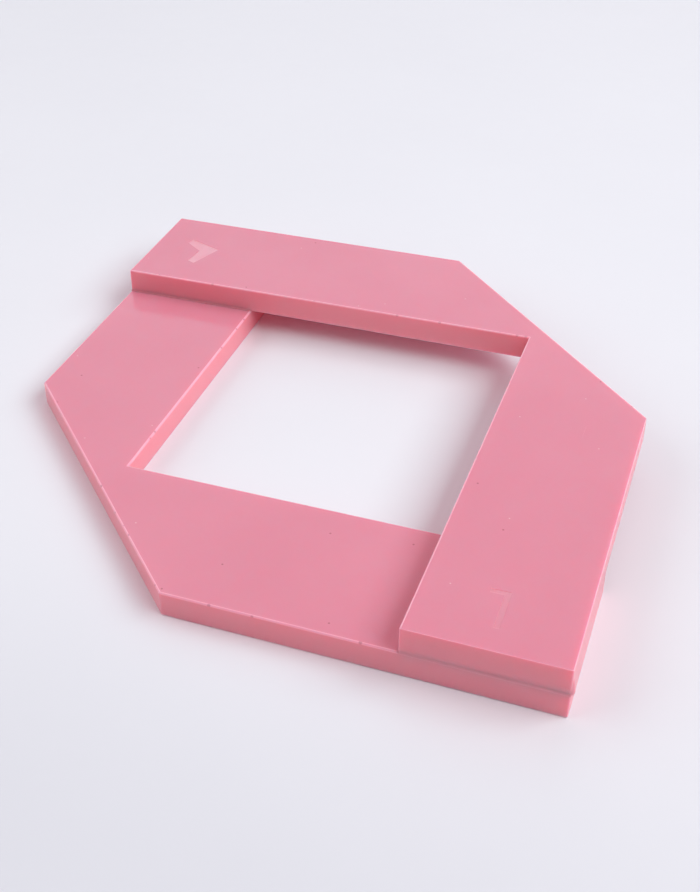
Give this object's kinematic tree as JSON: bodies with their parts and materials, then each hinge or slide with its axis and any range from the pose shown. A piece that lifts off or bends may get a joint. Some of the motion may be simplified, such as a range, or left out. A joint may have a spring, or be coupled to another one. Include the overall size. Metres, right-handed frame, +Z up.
{
  "type": "corner mitre template",
  "caption": "Square corner template of stacked L-shaped pink acrylic plates with mitred corners and a square window, for marking, trimming and scoring cover corners.",
  "frame": {"origin": "centre of the square outline at the bottom face of the lower plate", "axes": "+Z up through the stack; +X along the front side from the mitred front left corner to the right; +Y from front to back"},
  "size_m": [0.07, 0.07, 0.006],
  "materials": {
    "lower_acrylic": "glossy pink cast acrylic, opaque with a slight glow, laser-cut edges",
    "upper_acrylic": "glossy pink cast acrylic, opaque with a slight glow, laser-cut edges, two frosted engraved marks",
    "acrylic_cement": "cured solvent cement, glossy, slightly darker than the sheet"
  },
  "bodies": {
    "root": {"lower_plate": "lower_acrylic", "upper_plate": "upper_acrylic", "back_left_cement_film": "acrylic_cement", "front_right_cement_film": "acrylic_cement"}
  },
  "joints": []
}
